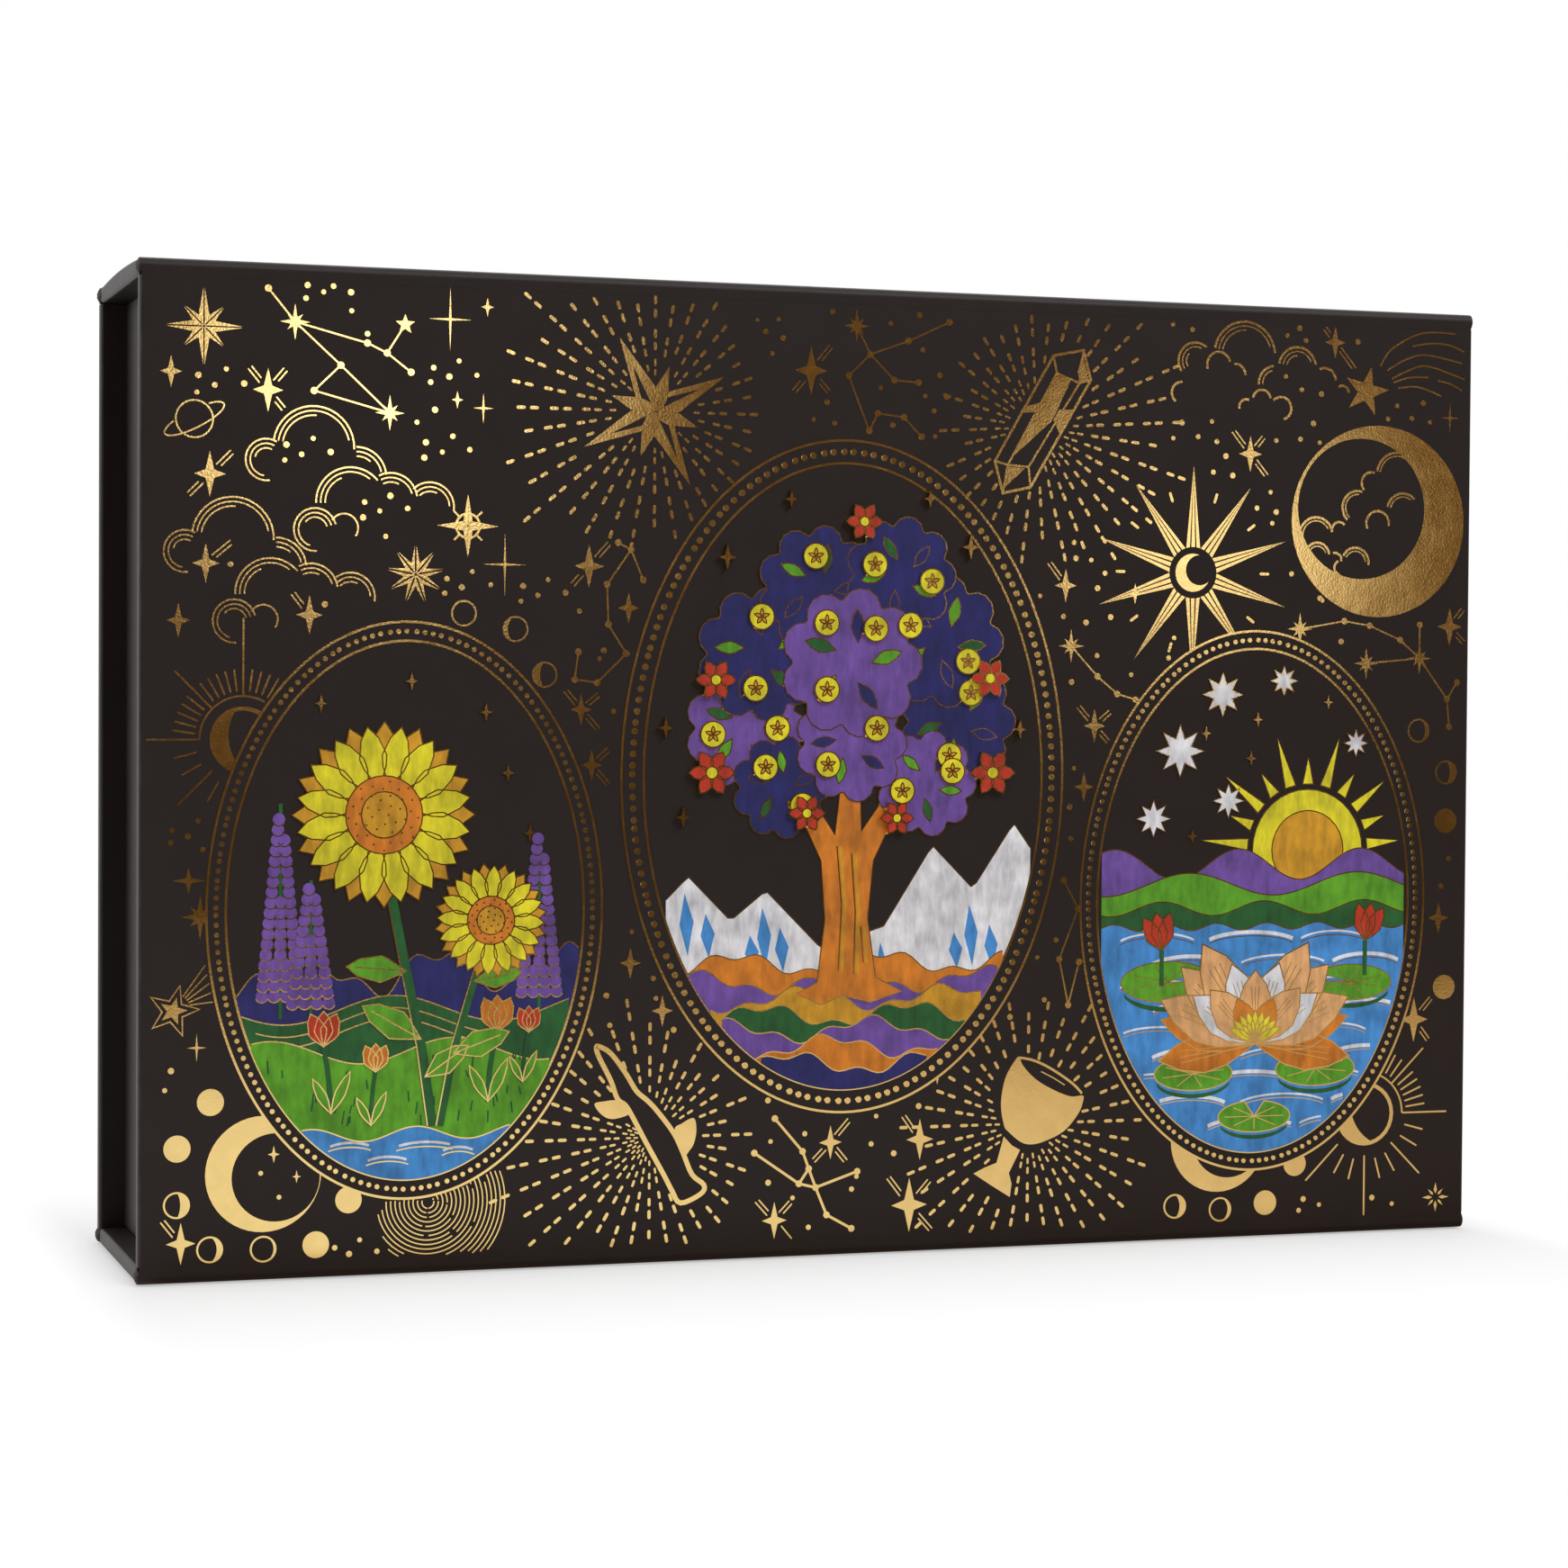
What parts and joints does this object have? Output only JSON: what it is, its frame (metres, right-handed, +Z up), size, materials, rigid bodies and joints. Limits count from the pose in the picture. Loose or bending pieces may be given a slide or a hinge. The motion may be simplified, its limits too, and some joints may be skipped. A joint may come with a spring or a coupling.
{
  "type": "tarot card deck in a hinged presentation box",
  "caption": "Rigid paper-wrapped book-style box with a hinged lid and magnetic flap, holding a tarot card deck and its guidebook in a padded tray with lifting ribbons.",
  "frame": {"origin": "middle of the face that the closed box stands on", "axes": "+X along the box to the right as seen from the front, +Y from the front cover to the back, +Z up"},
  "size_m": [0.191, 0.04, 0.132],
  "materials": {
    "case_paper": "matte",
    "lining_paper": "matte",
    "greyboard": "matte",
    "kraft_paper": "matte",
    "foam": "matte",
    "card_stock": "satin",
    "book_cover_card": "satin",
    "book_paper": "matte",
    "book_glue": "satin",
    "satin_ribbon": "satin",
    "magnet_nickel": "polished",
    "gold_foil": "satin",
    "picture_ink": "satin"
  },
  "bodies": {
    "case": {"base_board": "greyboard", "base_wrap": "case_paper", "base_spine_joint": "case_paper", "spine_board": "greyboard", "spine_wrap": "case_paper", "spine_liner": "lining_paper", "spine_lid_joint": "case_paper", "tray_floor": "greyboard", "tray_wall_left": "greyboard", "tray_wall_right": "greyboard", "tray_wall_spine": "greyboard", "tray_wall_flap": "greyboard", "tray_wrap": "case_paper", "corner_stays": "kraft_paper", "tray_magnets": "magnet_nickel", "insert_base_sheet": "foam", "insert_left_block": "foam", "insert_centre_block": "foam", "insert_right_block": "foam", "insert_book_riser": "foam"},
    "lid": {"lid_board": "greyboard", "lid_wrap": "case_paper", "lid_liner": "lining_paper", "lid_flap_joint": "case_paper"},
    "flap": {"flap_board": "greyboard", "flap_wrap": "case_paper", "flap_liner": "lining_paper", "flap_magnets": "magnet_nickel"},
    "deck": {"major_arcana_cards": "card_stock", "wands_cards": "card_stock", "cups_cards": "card_stock", "swords_cards": "card_stock", "pentacles_cards": "card_stock", "deck_ribbon": "satin_ribbon"},
    "guidebook": {"guidebook_cover": "book_cover_card", "guidebook_sections": "book_paper", "guidebook_glue": "book_glue", "book_ribbon": "satin_ribbon"}
  },
  "joints": [
    {"name": "lid_hinge", "type": "hinge", "parent": "case", "child": "lid", "pos_m": [0, -0.0189, 0.1309], "axis": [-1, 0, 0], "range_deg": [0, 180]},
    {"name": "flap_hinge", "type": "hinge", "parent": "lid", "child": "flap", "pos_m": [0, -0.0189, 0.0011], "axis": [-1, 0, 0], "range_deg": [0, 180]},
    {"name": "deck_lift", "type": "slide", "parent": "case", "child": "deck", "axis": [0, -1, 0], "range_m": [0, 0.0025]},
    {"name": "guidebook_lift", "type": "slide", "parent": "case", "child": "guidebook", "axis": [0, -1, 0], "range_m": [0, 0.0025]}
  ]
}
